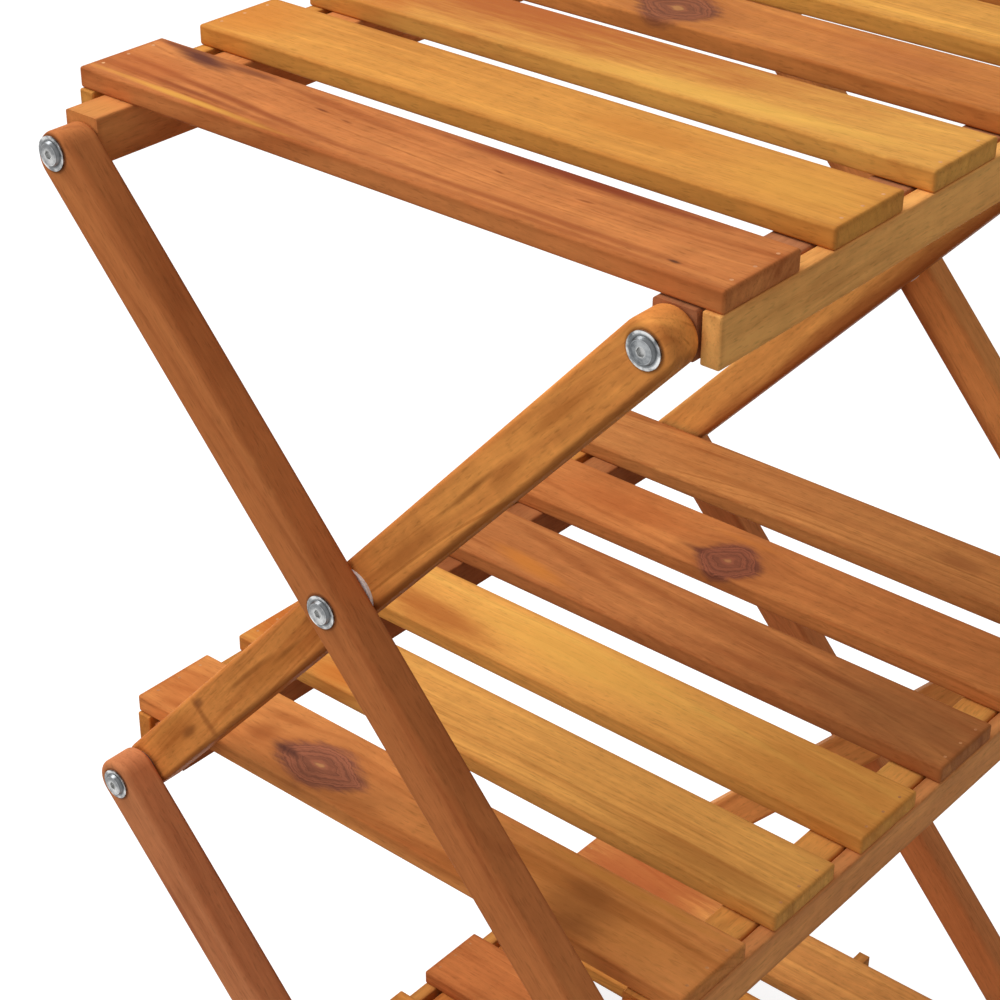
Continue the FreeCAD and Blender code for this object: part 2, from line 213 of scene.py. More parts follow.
# Each cloud has its lumps in a metre along the fibre and across it, then its detail and its roughness.
patches = cloud(grain, point, (4.5, 26, 26), 3.0, 0.55)["Fac"]
stripes = cloud(grain, point, (2.4, 170, 110), 3.0, 0.6)["Fac"]
flecks = cloud(grain, point, (34, 240, 240), 3.0, 0.6)["Fac"]
mottle = cloud(grain, point, (85, 60, 60), 3.0, 0.6)["Fac"]
fibres = cloud(grain, point, (45, 620, 620), 3.0, 0.6)["Fac"]
pores = cloud(grain, point, (150, 900, 900), 1.0)["Fac"]
print("grain clouds joined:", len(grain.nodes))

# %% The way to the nearest edge
# On a box, the rooms left to the three pairs of faces, added up less the largest, are the way to an edge.
room = vector_calc(grain, "SUBTRACT", given["Half"], vector_calc(grain, "ABSOLUTE", given["Point"]))
ways = grain.nodes.new("ShaderNodeSeparateXYZ")
plug(grain, ways.inputs[0], room)
largest = calc(grain, "MAXIMUM", calc(grain, "MAXIMUM", ways.outputs[0], ways.outputs[1]), ways.outputs[2])
edge_way = calc(grain, "SUBTRACT", vector_calc(grain, "DOT_PRODUCT", room, (1.0, 1.0, 1.0)), largest)
# Darker wood near every edge, in patches: partly oil wear, partly painted shade along the edges.
wear_and_shade_starts = 0.0042
wear_and_shade_full = 0.0005
edge_wear_and_shade = soft_step(grain, edge_way, wear_and_shade_starts, wear_and_shade_full)
edge_wear_and_shade = calc(grain, "MULTIPLY", edge_wear_and_shade, soft_step(grain, mottle, 0.2, 0.6))
print("edge nodes joined:", len(grain.nodes))

# %% The grain's colour
# A sway is how far a cloud can push the tone, which runs from deep through the body tone to pale.
ring_sway = 0.9
stripe_sway = 0.7
patch_sway = 1.5
deepest = 0.05
body_tone = 0.5
palest = 0.95
line_strength = 0.5
wear_and_shade_strength = 0.6
lined = calc(grain, "ADD", swing(grain, rings, ring_sway), swing(grain, stripes, stripe_sway))
tone = calc(grain, "MULTIPLY_ADD", swing(grain, patches, patch_sway), given["Figure"], body_tone)
tone = calc(grain, "MULTIPLY_ADD", lined, given["Lines"], tone)
colour = blend(grain, soft_step(grain, tone, deepest, body_tone), given["Deep"], given["Body"])
colour = blend(grain, soft_step(grain, tone, body_tone, palest), colour, given["Pale"])
line_share = soft_step(grain, thin_rings, 0.56, 0.72)
line_share = calc(grain, "MULTIPLY", line_share, soft_step(grain, stripes, 0.4, 0.62))
line_share = calc(grain, "MULTIPLY", line_share, given["Lines"])
colour = cover(grain, line_share, line_strength, colour, given["Deep"])
colour = cover(grain, edge_wear_and_shade, wear_and_shade_strength, colour, given["Deep"])
print("colour nodes joined:", len(grain.nodes))

# %% The grain's fine shade, gloss and relief
fibre_sway = 0.26
fleck_sway = 0.3
mottle_sway = 0.34
pore_shade = -0.16
smoothest = 0.40
fibre_matt = 0.16
pore_matt = 0.12
pore_sink = -0.7
fine = calc(grain, "ADD", swing(grain, fibres, fibre_sway), swing(grain, flecks, fleck_sway))
coarse = calc(grain, "MULTIPLY_ADD", swing(grain, mottle, mottle_sway), given["Figure"], 1.0)
pore_share = soft_step(grain, pores, 0.54, 0.76)
shade = calc(grain, "MULTIPLY_ADD", pore_share, pore_shade, calc(grain, "ADD", fine, coarse))
matt = calc(grain, "MULTIPLY_ADD", fibres, fibre_matt, smoothest)
matt = calc(grain, "MULTIPLY_ADD", pore_share, pore_matt, matt)
relief = calc(grain, "MULTIPLY_ADD", pore_share, pore_sink, fibres)
plug(grain, result["Colour"], scale_vector(grain, colour, shade))
plug(grain, result["Roughness"], matt)
plug(grain, result["Height"], relief)
print("grain group nodes:", len(grain.nodes))

# %% [markdown]
# ## Knots
# Where a branch left the trunk, the fibres swing round a dark ringed eye with pointed corners.
# The knot group measures how far a point is from the eye's centre in eye widths.
# Part of that measure is a plain ellipse and part a lens, which gives the pointed corners.
# It pushes the grain outwards, so that the stripes part and close again.
# The rings inside are random bands of that measure, so some are faint and some are strong.
# The outline is frayed along the fibre, and the two tips are darkest, where bark was caught.

# %% How far a point is from a knot's eye
lens_power = 1.4
ellipse_part = 0.4
lens_part = 0.6
knot, given, result = new_group(
    "knot_eye",
    [("Point", "Vector"), ("Centre", "Vector"), ("Widths", "Vector")],
    [("Point", "Vector"), ("Eye", "Float"), ("Halo", "Float"), ("Rings", "Float"), ("Rim", "Float"),
     ("Core", "Float")])
ragged = cloud(knot, given["Point"], (60, 80, 20), 4.0, 0.65)["Fac"]
torn = cloud(knot, given["Point"], (45, 330, 60), 3.0, 0.6)["Fac"]
offset = vector_calc(knot, "SUBTRACT", given["Point"], given["Centre"])
measure = vector_calc(knot, "DIVIDE", offset, given["Widths"])
parts = knot.nodes.new("ShaderNodeSeparateXYZ")
plug(knot, parts.inputs[0], measure)
wide = calc(knot, "ABSOLUTE", parts.outputs[0])
tall = calc(knot, "ABSOLUTE", parts.outputs[1])
lens = calc(knot, "ADD", calc(knot, "POWER", wide, lens_power), tall)
reach = calc(knot, "MULTIPLY", vector_calc(knot, "LENGTH", measure), ellipse_part)
reach = calc(knot, "MULTIPLY_ADD", lens, lens_part, reach)
reach = calc(knot, "ADD", swing(knot, ragged, 0.4), reach)
outline = calc(knot, "ADD", swing(knot, torn, 0.5), reach)
print("knot measure nodes:", len(knot.nodes))

# %% The pushed grain, the rings and the eye
pull_ease = 0.6
rings_per_width = 11.0
squared = calc(knot, "MULTIPLY", reach, reach)
pull = calc(knot, "DIVIDE", squared, calc(knot, "ADD", squared, pull_ease))
sides = knot.nodes.new("ShaderNodeSeparateXYZ")
plug(knot, sides.inputs[0], offset)
moved = knot.nodes.new("ShaderNodeCombineXYZ")
plug(knot, moved.inputs[0], sides.outputs[0])
plug(knot, moved.inputs[1], calc(knot, "MULTIPLY", sides.outputs[1], pull))
plug(knot, moved.inputs[2], sides.outputs[2])
ringed = calc(knot, "ADD", bands(knot, reach, rings_per_width), swing(knot, torn, 0.4))
plug(knot, result["Point"], vector_calc(knot, "ADD", moved.outputs[0], given["Centre"]))
plug(knot, result["Eye"], soft_step(knot, outline, 1.12, 0.72))
plug(knot, result["Halo"], soft_step(knot, reach, 2.4, 0.9))
plug(knot, result["Rings"], soft_step(knot, ringed, 0.3, 0.7))
tips = soft_step(knot, wide, 0.35, 0.85)
rim = calc(knot, "MULTIPLY", soft_step(knot, reach, 0.5, 0.9), soft_step(knot, ragged, 0.36, 0.56))
plug(knot, result["Rim"], calc(knot, "MULTIPLY", rim, tips))
plug(knot, result["Core"], soft_step(knot, reach, 0.14, 0.05))
print("knot group nodes:", len(knot.nodes))

# %% [markdown]
# ## Single marks
# Heartwood leaves red or purple flames in a board, and sapwood leaves pale ones. Along the lower edges of
# some legs the same mark is used as painted shade.
# A flame is a long lens with frayed sides. The mark group measures a point along the lens and across it,
# both in lens sizes, and the share fades out as the two together near one.

# %% The mark group
mark_full = 0.2
mark_gone = 1.15
mark, given, result = new_group(
    "single_mark",
    [("Point", "Vector"), ("Fibre", "Vector"), ("Middle", "Vector"), ("Half", "Vector"), ("Face", "Vector"),
     ("Width", "Float")],
    [("Share", "Float")])
frayed = cloud(mark, given["Fibre"], (22, 190, 190), 4.0, 0.6)["Fac"]
flat = vector_calc(mark, "SUBTRACT", given["Point"], given["Middle"])
flat = vector_calc(mark, "MULTIPLY", flat, given["Face"])
along = calc(mark, "DIVIDE", vector_calc(mark, "DOT_PRODUCT", flat, given["Half"]),
             vector_calc(mark, "DOT_PRODUCT", given["Half"], given["Half"]))
foot = scale_vector(mark, given["Half"], along)
across = calc(mark, "DIVIDE", vector_calc(mark, "DISTANCE", flat, foot), given["Width"])
away = calc(mark, "SQRT", calc(mark, "MULTIPLY_ADD", along, along, calc(mark, "MULTIPLY", across, across)))
away = calc(mark, "ADD", away, swing(mark, frayed, 1.0))
plug(mark, result["Share"], soft_step(mark, away, mark_gone, mark_full))
print("mark group nodes:", len(mark.nodes))

# %% [markdown]
# ## One board, one finish
# No two boards come from the same place in the log, so every board gets its own tone
# and its own stretch of grain. The grain runs the long way of the board: along X in the slats,
# along Y in the rails and bars, and down the slope in the legs.
# A Mapping node turns the calculation to suit.
# Knots, marks and the painted shade round the bolts are laid over the plain wood, one after another.

# %% Groups and tones
whitest = 0.95


def group_node(tree, group, **values):
    """Use a node group, with its sockets filled in by name."""
    node = tree.nodes.new("ShaderNodeGroup")
    node.node_tree = group
    for label, value in values.items():
        plug(tree, node.inputs[label], value)
    return node.outputs


def scaled(colour, factors):
    """A lighter or deeper version of a linear colour, channel by channel."""
    return tuple(min(c * f, whitest) for c, f in zip(colour, factors)) + (1.0,)


print("a deeper brown:", [round(v, 3) for v in scaled(linear(205, 128, 70), (0.5, 0.5, 0.5))])

# %% Marks on the wood
upper_face = (1.0, 1.0, 0.0)
front_face = (1.0, 0.0, 1.0)


def add_marks(tree, point, fibre, colour, marks, face):
    """Lay single marks over a colour.

    A mark holds its middle, as x and then y or z, its half length along those two axes and its half width,
    all in millimetres, and then its tint and its strength.
    The face says which two axes the mark is drawn on, and it goes right through along the third.
    """
    for x, second, run, rise, width, tint, strength in marks:
        middle = (x / 1000, second / 1000 * face[1], second / 1000 * face[2])
        reach = (run / 1000, rise / 1000 * face[1], rise / 1000 * face[2])
        share = group_node(tree, mark, Point=point, Fibre=fibre, Middle=middle, Half=reach, Face=face,
                           Width=width / 1000)
        colour = cover(tree, share["Share"], strength, colour, linear(*tint))
    return colour


print("faces that carry marks:", upper_face, front_face)

# %% Knots on the wood
# A knot's tones are shares of its board's own tone, channel by channel.
halo_share = (0.62, 0.55, 0.6)
dark_ring_share = (0.29, 0.28, 0.60)
pale_ring_share = (0.56, 0.51, 0.96)
rim_share = (0.22, 0.20, 0.46)
core_share = (0.85, 1.1, 1.5)


def add_eyes(tree, colour, eyes, tone):
    """Lay each knot's halo over a colour, then its eye with rings, dark rim and pale core."""
    for eye in eyes:
        colour = cover(tree, eye["Halo"], 0.4, colour, scaled(tone, halo_share))
        ringed = blend(tree, eye["Rings"], scaled(tone, dark_ring_share), scaled(tone, pale_ring_share))
        ringed = cover(tree, eye["Rim"], 0.7, ringed, scaled(tone, rim_share))
        ringed = cover(tree, eye["Core"], 0.8, ringed, scaled(tone, core_share))
        colour = cover(tree, eye["Eye"], 0.95, colour, ringed)
    return colour


print("darkest share of a knot:", min(rim_share))

# %% Painted shade round the bolts
# The dark patch round each bolt head is painted shade where the head meets the leg.
bolt_shade_tint = (78, 40, 22)
bolt_shade_gone = 0.0106
bolt_shade_full = 0.0088
bolt_shade_strength = 0.7


def add_bolt_shade_rings(tree, point, colour, axes):
    """Painted shade where a bolt head meets the leg: a dark round patch about each axis, given as x and z,
    which shows as a dark ring round the head.
    """
    for x, z in axes:
        away = vector_calc(tree, "SUBTRACT", point, (x, 0.0, z))
        away = vector_calc(tree, "LENGTH", vector_calc(tree, "MULTIPLY", away, front_face))
        share = soft_step(tree, away, bolt_shade_gone, bolt_shade_full)
        colour = cover(tree, share, bolt_shade_strength, colour, linear(*bolt_shade_tint))
    return colour


print("a stain ends at this radius in metres:", bolt_shade_gone)

# %% Where a board lay in the log
golden_angle = 2.4
nearest_heart = 0.05
heart_step = 0.015
heart_below = 0.02
heart_along = 0.09


def heart_place(number):
    """The trunk's heart, from a board's middle: the golden angle keeps any two boards from matching."""
    away = nearest_heart + heart_step * (number % 4)
    side = away * math.cos(golden_angle * number)
    below = away * abs(math.sin(golden_angle * number)) + heart_below
    return (heart_along * math.cos(number), side, -below)


def mesh_points(node_name):
    """All the points of a piece, one row each."""
    mesh = nodes[node_name].data
    flat = np.empty(len(mesh.vertices) * 3)
    mesh.vertices.foreach_get("co", flat)
    return flat.reshape(-1, 3)


def board_extent(node_name, turn):
    """A board's middle and half size after the turn that lays its long way on X."""
    turned = mesh_points(node_name) @ np.array(Euler(turn).to_matrix()).T
    low, high = turned.min(0), turned.max(0)
    return (low + high) / 2, (high - low) / 2


print("heart of the first board:", [round(v, 3) for v in heart_place(1)])

# %% Materials and relief
def new_material(name):
    """An empty material, with its node tree and its shader."""
    material = bpy.data.materials.new(name)
    material.use_nodes = True
    return material, material.node_tree, material.node_tree.nodes["Principled BSDF"]


def add_bump(tree, shader, height, strength, distance):
    """Fine relief from a height: the distance is how deep a height of one is, in metres."""
    bump = tree.nodes.new("ShaderNodeBump")
    bump.inputs["Strength"].default_value = strength
    bump.inputs["Distance"].default_value = distance
    plug(tree, bump.inputs["Height"], height)
    plug(tree, shader.inputs["Normal"], bump.outputs[0])


def dress(node_name, material):
    """Give a piece of the frame one finish all over."""
    mesh = nodes[node_name].data
    mesh.materials.clear()
    mesh.materials.append(material)


print("material helpers ready")

# %% The board finish
board_numbers = iter(range(1, len(nodes) + 1))
log_steps = (3.1, 1.7, 2.3)
pale_factors = (1.22, 1.32, 1.30)
deep_factors = (0.68, 0.56, 0.52)
oil_gloss = 0.01
wood_relief = 0.25
wood_depth = 0.0003


def board_finish(node_name, body, turn=(0.0, 0.0, 0.0), lines=1.0, figure=1.0, heart=None,
                 knots=(), marks=(), face=upper_face, bolt_shades=()):
    """Oiled acacia for one board: body is its middle tone, turn lays the grain along the board."""
    number = next(board_numbers)
    material, tree, shader = new_material("acacia_" + node_name)
    place = tree.nodes.new("ShaderNodeTexCoord").outputs["Object"]
    point = place
    eyes = []
    for centre, widths in knots:
        eyes.append(group_node(tree, knot, Point=point, Centre=centre, Widths=widths))
        point = eyes[-1]["Point"]
    middle, half = board_extent(node_name, turn)
    mapping = tree.nodes.new("ShaderNodeMapping")
    plug(tree, mapping.inputs["Vector"], point)
    mapping.inputs["Rotation"].default_value = turn
    mapping.inputs["Location"].default_value = -middle
    fibre = mapping.outputs[0]
    shift = tuple(step * number for step in log_steps)
    tone = linear(*body)
    wood = group_node(tree, grain, Point=fibre, Shift=shift, Half=half, Heart=heart or heart_place(number),
                      Pale=scaled(tone, pale_factors), Body=tone, Deep=scaled(tone, deep_factors),
                      Lines=lines, Figure=figure)
    colour = add_eyes(tree, wood["Colour"], eyes, tone)
    colour = add_marks(tree, place, fibre, colour, marks, face)
    colour = add_bolt_shade_rings(tree, place, colour, bolt_shades)
    plug(tree, shader.inputs["Base Color"], colour)
    plug(tree, shader.inputs["Roughness"], wood["Roughness"])
    shader.inputs["Specular IOR Level"].default_value = oil_gloss
    add_bump(tree, shader, wood["Height"], wood_relief, wood_depth)
    return material


print("board finish ready")

# %% [markdown]
# ## The slats
# Each slat's tone was fitted to the photograph, so honey boards lie beside red ones as they do there.
# The larger flames and the three knots were placed one by one on the board that carries them.

# %% Slat tones and knots
slat_tones = {
    "top_1": (203, 125, 70), "top_2": (219, 150, 72), "top_3": (227, 163, 81),
    "top_4": (202, 126, 65), "top_5": (223, 157, 75), "top_6": (206, 130, 66),
    "mid_1": (219, 142, 79), "mid_2": (226, 161, 83), "mid_3": (237, 169, 86),
    "mid_4": (192, 120, 68), "mid_5": (202, 125, 69), "mid_6": (195, 126, 70),
    "low_1": (200, 122, 62), "low_2": (206, 132, 66), "low_3": (208, 136, 68),
    "low_4": (197, 117, 65), "low_5": (210, 138, 68), "low_6": (225, 154, 85),
}
slat_knots = {
    "mid_1": [((-0.0690, -0.2037, 0.4577), (0.036, 0.0200, 0.005))],
    "mid_5": [((-0.0215, 0.1080, 0.4577), (0.0255, 0.0255, 0.005))],
    "top_4": [((-0.0245, 0.0325, 0.8289), (0.0265, 0.0245, 0.005))],
}
print("slats with a knot:", sorted(slat_knots))

# %% Slat marks
slat_marks = {
    "top_1": [
        (-155, -177.6, 28, -5, 8, (104, 58, 44), 1.0), (-126, -175.5, 26, -1, 3.6, (122, 66, 42), 0.8),
        (-178, -173.5, 16, -0.5, 2.6, (124, 66, 44), 0.75), (-99, -207, 95, -10, 3.4, (146, 72, 38), 0.75),
        (-128, -212, 66, -4, 2.6, (136, 66, 36), 0.75), (-172, -202, 40, -4, 18, (172, 86, 42), 0.45),
        (74, -214, 130, 0, 3.6, (152, 76, 40), 0.65), (100, -220, 95, 0, 2.2, (156, 80, 42), 0.55),
        (74, -173, 100, 0, 9, (140, 66, 38), 1.0),
        (-125, -219.4, 75, -2, 3, (232, 168, 76), 0.75),
        (-64, -188.7, 6, -0.5, 1.3, (126, 66, 36), 0.9), (-46, -191.6, 5, -0.6, 1.1, (136, 70, 38), 0.7),
        (44, -190.7, 5, -0.6, 1.1, (140, 72, 38), 0.8), (92, -191, 6, 0.5, 1.1, (140, 72, 38), 0.7),
        (156, -214.4, 4, 0, 1.5, (92, 56, 40), 0.9)],
    "top_2": [
        (-182, -118, 40, 0, 40, (206, 120, 48), 0.5), (64, -113.6, 48, 0, 15, (204, 126, 54), 0.45),
        (155, -118, 50, 0, 28, (238, 174, 80), 0.4)],
    "top_3": [
        (-130, -12.5, 300, 0, 60, (182, 100, 50), 0.95), (60, -56, 120, 6, 10, (244, 190, 90), 0.5),
        (-150, -58, 30, 0, 14, (196, 108, 48), 0.6)],
    "top_4": [
        (-52, 30, 12, 0, 4, (110, 60, 44), 0.55), (100, 44, 44, 0, 20, (178, 98, 56), 0.35),
        (60, 52, 90, 0, 7, (186, 104, 50), 0.4)],
    "mid_1": [
        (110, -197, 110, 0, 40, (190, 124, 56), 0.4), (109, -203, 28, 0, 26, (128, 74, 38), 0.45),
        (105, -190, 17, 0, 10, (132, 78, 38), 0.3), (115, -216, 20, 0, 9, (118, 66, 34), 0.4),
        (110, -176, 90, 0, 6, (206, 140, 64), 0.5),
        (-92, -205, 14, -1, 4, (88, 54, 46), 0.75), (-114, -201, 12, 0, 12, (150, 78, 38), 0.5),
        (-110.6, -183.4, 20, 3, 5, (158, 84, 40), 0.45), (-175, -200, 26, 0, 30, (176, 88, 40), 0.4)],
    "mid_2": [
        (136, -134, 74, 0, 11, (156, 94, 42), 0.55), (-120, -135, 34, 0, 14, (206, 112, 44), 0.7),
        (-184, -115, 16, 0, 40, (196, 100, 42), 0.8)],
    "mid_3": [
        (-25, -33, 95, 0, 24, (238, 178, 84), 0.55), (-121, -52, 60, -4, 18, (170, 88, 40), 0.7),
        (150, -40, 90, 0, 45, (188, 114, 48), 0.5)],
    "mid_4": [
        (8, 51, 135, -4, 8, (140, 72, 36), 0.4), (-112, 25, 36, -6, 8.5, (214, 132, 56), 0.7),
        (-92, 46.5, 75, -16, 6, (140, 70, 34), 0.4), (-60, 57, 60, -8, 5, (146, 74, 36), 0.4),
        (60, 27, 80, 3, 6, (150, 78, 40), 0.4), (145, 38, 80, 0, 40, (140, 92, 54), 0.45)],
    "mid_5": [
        (-109, 120, 64, 0, 22, (180, 90, 42), 0.4), (-24, 135, 30, 0, 4, (216, 134, 66), 0.5),
        (-47, 108, 12, 0, 4, (110, 60, 44), 0.5)],
    "mid_6": [
        (88, 200, 24, -1, 9, (140, 78, 42), 0.5), (-60, 190, 90, 0, 5, (160, 92, 46), 0.4)],
    "low_6": [(-140, 197, 95, 0, 60, (182, 92, 52), 0.75)],
}
print("slat marks:", sum(len(rows) for rows in slat_marks.values()))

# %% Dress the slats
usual_lines = 0.9
usual_figure = 0.9
slat_lines = {"top_1": 0.8, "mid_6": 1.0, "top_2": 0.45, "top_3": 0.5, "mid_3": 0.6}
slat_figure = {"top_1": 1.1, "top_2": 0.8, "top_3": 0.5, "mid_3": 0.6, "mid_2": 0.7}
slat_hearts = {
    "top_1": (0.074, 0.047, -0.03), "top_2": (0.05, -0.10, -0.03), "top_3": (-0.25, 0.06, -0.01),
    "mid_4": (-0.25, -0.06, -0.02), "mid_2": (0.10, -0.12, -0.01),
}
for spot, tone in slat_tones.items():
    node_name = "slat_" + spot
    finish = board_finish(node_name, tone, lines=slat_lines.get(spot, usual_lines),
                          figure=slat_figure.get(spot, usual_figure), heart=slat_hearts.get(spot),
                          knots=slat_knots.get(spot, ()), marks=slat_marks.get(spot, ()))
    dress(node_name, finish)
print("slats dressed:", len(slat_tones))

# %% [markdown]
# ## Rails, bars and blocks
# The rails under the slat ends and the bars that the legs turn on run from front to back.
# A quarter turn about Z lays the grain that way.

# %% Dress the rails and bars
front_to_back = (0.0, 0.0, math.pi / 2)
rail_tones = {
    "rail_top_left": (210, 146, 72), "rail_top_right": (254, 185, 105),
    "rail_mid_left": (212, 144, 72), "rail_mid_right": (224, 150, 90),
    "rail_low_left": (205, 138, 72), "rail_low_right": (212, 148, 78),
    "bar_top_left": (215, 140, 81), "bar_top_right": (187, 125, 85),
    "bar_mid_left": (171, 107, 65), "bar_mid_right": (241, 171, 90),
    "bar_low_left": (200, 124, 62), "bar_low_right": (198, 120, 60),
    "stop_blocks": (212, 144, 76),
}
rail_lines = 0.4
rail_marks = {"bar_top_left": [(-166, -238, 14, 0, 20, (222, 154, 80), 0.35)]}
for node_name, tone in rail_tones.items():
    finish = board_finish(node_name, tone, front_to_back, rail_lines, marks=rail_marks.get(node_name, ()))
    dress(node_name, finish)
print("rails, bars and blocks dressed:", len(rail_tones))

# %% [markdown]
# ## The legs
# A leg lies in a plane that faces the front, so its grain turns about Y.
# The slope is measured on the piece itself: the longest direction of its points,
# found as the first axis of their spread.

# %% Leg slopes
def leg_turn(node_name):
    """Angle about Y that lays a leg's long direction on X, from the spread of its points."""
    spread = mesh_points(node_name)[:, [0, 2]]
    spread = spread - spread.mean(0)
    long_way = np.linalg.svd(spread, full_matrices=False)[2][0]
    return (0.0, math.atan2(long_way[1], long_way[0]), 0.0)


leg_tones = {
    "leg_a_front": (195, 118, 67), "leg_b_front": (220, 140, 71),
    "leg_c_front": (204, 128, 83), "leg_d_front": (206, 124, 60),
    "leg_a_rear": (226, 149, 85), "leg_b_rear": (223, 156, 84),
    "leg_c_rear": (207, 129, 77), "leg_d_rear": (222, 148, 82),
}
print("leg slopes in degrees:", [round(math.degrees(leg_turn(n)[1]), 1) for n in leg_tones])

# %% Leg marks
leg_marks = {
    "leg_b_front": [
        # The first mark on this line darkens the leg's lower edge: painted shade.
        (10, 609.9, 265, 298, 3.6, (112, 60, 28), 0.6), (-112, 491.5, 14, -13, 3.6, (140, 74, 36), 0.5),
        (-116, 500, 4, 4, 3, (120, 66, 40), 0.6),
        (-138, 470, 22, 22, 14, (178, 100, 42), 0.5), (-126, 476, 7, 8, 4, (128, 70, 34), 0.6),
        (-72, 541, 19, 21, 2.2, (136, 74, 32), 0.65), (-45, 566, 13, 15, 1.8, (128, 70, 30), 0.65),
        (-58, 549, 26, 29, 6, (172, 100, 42), 0.45), (-25, 597, 10, 11, 3.5, (130, 72, 32), 0.6),
        (40, 662, 26, 29, 7, (164, 92, 42), 0.55), (75, 705, 20, 22, 2.2, (136, 76, 34), 0.65),
        (95, 722, 13, 15, 5, (168, 96, 44), 0.55), (125, 762, 20, 22, 4, (172, 96, 42), 0.55)],
    # These two marks darken the lower edges of the rear legs: painted shade.
    "leg_a_rear": [(-9, 610.8, 265, -298, 9, (132, 62, 30), 0.6)],
    "leg_b_rear": [(9, 610.8, 265, 298, 11, (140, 70, 34), 0.75)],
    "leg_c_front": [(-120, 368, 26, -29, 4, (150, 74, 48), 0.5)],
}
print("leg marks:", sum(len(rows) for rows in leg_marks.values()))

# %% Bolts on each leg
leg_bolts = {
    "leg_a": ["top_left", "upper_cross", "mid_right"], "leg_b": ["top_right"],
    "leg_c": ["mid_left", "lower_cross", "low_right"], "leg_d": ["low_left"],
}


def bolt_axis(node_name):
    """The x and z of the line that a pair of bolts turns about: the middle of the pair's box."""
    low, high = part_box(node_name)
    return (low.x + high.x) / 2, (low.z + high.z) / 2


def bolt_shade_axes(node_name):
    """The axes of the bolts whose heads lie on this leg."""
    family = node_name.rsplit("_", 1)[0]
    return [bolt_axis("bolts_" + bolt) for bolt in leg_bolts[family]]


print("bolts on the legs:", sum(len(bolts) for bolts in leg_bolts.values()))

# %% Dress the legs
usual_leg = (0.6, 0.6)
leg_figure = {"leg_b_front": (1.1, 1.4), "leg_b_rear": (0.45, 0.7)}
for node_name, tone in leg_tones.items():
    lines, figure = leg_figure.get(node_name, usual_leg)
    finish = board_finish(node_name, tone, leg_turn(node_name), lines, figure,
                          marks=leg_marks.get(node_name, ()), face=front_face, bolt_shades=bolt_shade_axes(node_name))
    dress(node_name, finish)
print("legs dressed:", len(leg_tones))

# %% [markdown]
# ## Bright plated steel
# The bolts are turned and zinc plated, with a raised cap and a small hexagonal socket. Their rim carries a
# painted reflection in patches, their groove is darkened as painted shade, and their socket is lightened as
# painted light.
# Fine turning marks run in rings, so the marks are a function of the distance from each bolt's own axis.
# The washers are punched from paler sheet and never polished, so they are lighter and more matt.
# Those at the middle tier sit deep between the legs, where oil has turned them brown.
# The brads lie flush in the slats under the same oil, so they come close to the wood's own colour.

# %% How a steel finish starts
plate_depth = 0.0001


def steel_start(name):
    """A new metal material: its tree, its shader and the Mapping node that its point comes from."""
    material, tree, shader = new_material("steel_" + name)
    mapping = tree.nodes.new("ShaderNodeMapping")
    plug(tree, mapping.inputs["Vector"], tree.nodes.new("ShaderNodeTexCoord").outputs["Object"])
    return material, tree, shader, mapping


print("relief of the plating in metres:", plate_depth)

# %% The bolts
# Each pair of radii, in metres from the axis, says where a feature is gone and where it is full.
rim_radii = (0.0070, 0.0078)
groove_outside = (0.0072, 0.0066)
groove_inside = (0.0053, 0.0058)
socket_radii = (0.0027, 0.0022)
turning_marks = 2600.0
dull_zinc = (0.17, 0.175, 0.18, 1.0)
bright_zinc = (0.66, 0.66, 0.65, 1.0)
rim_painted_reflection = (0.86, 0.86, 0.85, 1.0)
groove_shade_grey = (0.12, 0.125, 0.13, 1.0)
socket_painted_light = (0.50, 0.50, 0.49, 1.0)


def bolt_finish(name, axis, oil_and_shade_factor):
    """Turned and plated steel: rim, groove, socket and marks follow the distance from the bolt's axis."""
    material, tree, shader, mapping = steel_start(name)
    mapping.inputs["Location"].default_value = (-axis[0], 0.0, -axis[1])
    point = mapping.outputs[0]
    radius = vector_calc(tree, "LENGTH", vector_calc(tree, "MULTIPLY", point, front_face))
    spangle = cloud(tree, point, (110, 110, 110), 4.0, 0.6)["Fac"]
    marks = bands(tree, radius, turning_marks)
    wear = calc(tree, "ADD", swing(tree, spangle, 2.6), marks)
    wear = soft_step(tree, wear, 0.0, 1.0)
    colour = blend(tree, wear, scaled(dull_zinc, oil_and_shade_factor), scaled(bright_zinc, oil_and_shade_factor))
    # Bright patches on the rim are a painted reflection.
    rim = soft_step(tree, radius, *rim_radii)
    rim = calc(tree, "MULTIPLY", rim, soft_step(tree, spangle, 0.38, 0.56))
    colour = cover(tree, rim, 0.7, colour, rim_painted_reflection)
    # The groove is darkened as painted shade.
    groove_shade = soft_step(tree, radius, *groove_outside)
    groove_shade = calc(tree, "MULTIPLY", groove_shade, soft_step(tree, radius, *groove_inside))
    colour = cover(tree, groove_shade, 0.8, colour, groove_shade_grey)
    # The socket is lightened towards grey: painted light against the shade in its hollow.
    socket = soft_step(tree, radius, *socket_radii)
    colour = cover(tree, socket, 0.8, colour, socket_painted_light)
    plug(tree, shader.inputs["Base Color"], colour)
    shader.inputs["Metallic"].default_value = 1.0
    plug(tree, shader.inputs["Roughness"], calc(tree, "MULTIPLY_ADD", spangle, 0.3, 0.2))
    add_bump(tree, shader, marks, 0.15, plate_depth)
    return material


print("bolt finish ready")

# %% The washers and the brads
matt_zinc = (0.80, 0.81, 0.82, 1.0)
pale_zinc = (0.95, 0.95, 0.95, 1.0)
dull_brass = linear(200, 128, 72)
pale_brass = linear(226, 164, 104)


